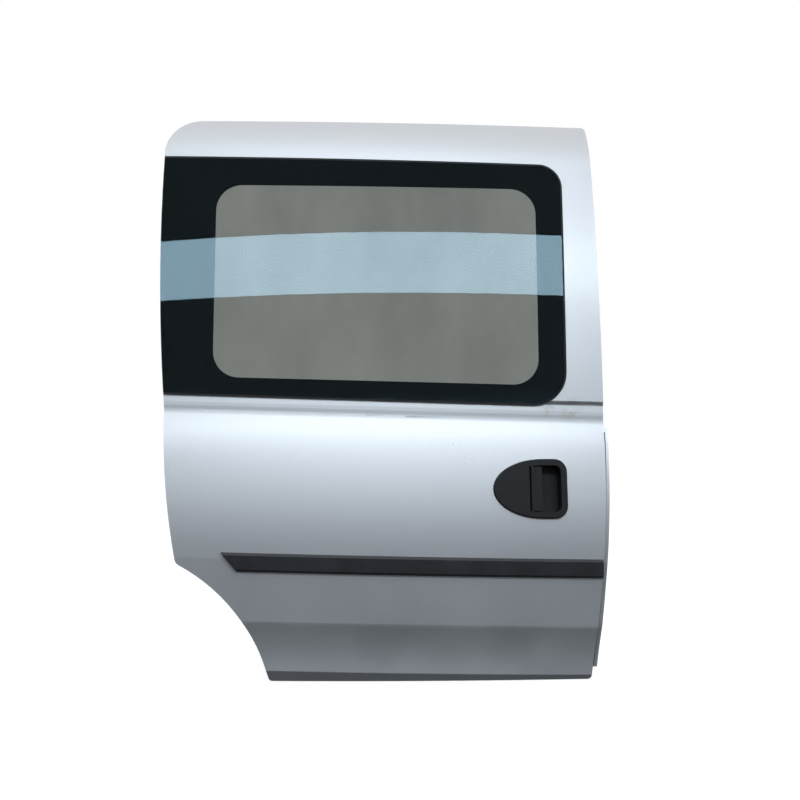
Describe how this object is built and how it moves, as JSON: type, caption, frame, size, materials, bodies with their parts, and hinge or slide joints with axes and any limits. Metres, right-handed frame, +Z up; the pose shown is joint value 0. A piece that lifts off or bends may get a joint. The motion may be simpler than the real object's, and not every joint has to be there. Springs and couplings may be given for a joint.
{
  "type": "van sliding door",
  "caption": "Sliding side door of a small van with a crowned pressed skin, bonded side window, rub strip, sprung pull handle and roller arms on its inner side.",
  "frame": {"origin": "on the flat underside of the lower roller arm, under the middle of its free length", "axes": "+X towards the front of the vehicle, +Y inboard, away from the painted face, +Z up"},
  "size_m": [0.9571, 0.2912, 1.196],
  "materials": {
    "silver_paint": "gloss metallic",
    "dark_paint": "satin",
    "side_glass": "gloss",
    "black_enamel": "gloss",
    "black_rubber": "matt",
    "black_plastic": "fine grain",
    "bright_steel": "zinc plated",
    "roller_nylon": "satin"
  },
  "bodies": {
    "door": {"outer_skin": "silver_paint", "inner_panel": "silver_paint", "window_frame": "silver_paint", "window_glass": "side_glass", "window_frit": "black_enamel", "window_bond": "black_rubber", "window_gasket": "black_rubber", "rub_strip": "black_plastic", "handle_bezel": "black_plastic", "handle_pin": "bright_steel", "weatherstrip": "black_rubber", "impact_beam": "dark_paint", "belt_reinforcement": "silver_paint", "lower_bracket": "dark_paint", "lower_arm": "dark_paint", "lower_rollers": "roller_nylon", "upper_arm": "dark_paint", "upper_roller": "roller_nylon", "centre_bracket": "dark_paint", "centre_arm": "dark_paint", "centre_pin": "bright_steel", "centre_rollers": "roller_nylon", "rear_latch": "bright_steel", "rear_claw": "bright_steel", "front_latch": "bright_steel", "front_claw": "bright_steel", "inner_bezel": "black_plastic", "inner_lever": "black_plastic"},
    "flap": {"handle_flap": "black_plastic"}
  },
  "joints": [
    {"name": "handle_pull", "type": "hinge", "parent": "door", "child": "flap", "pos_m": [-0.02165, -0.18274, 0.35501], "axis": [0.008, -0.1618, -0.9868], "range_deg": [0, 30], "stiffness_Nm_per_rad": 2}
  ]
}
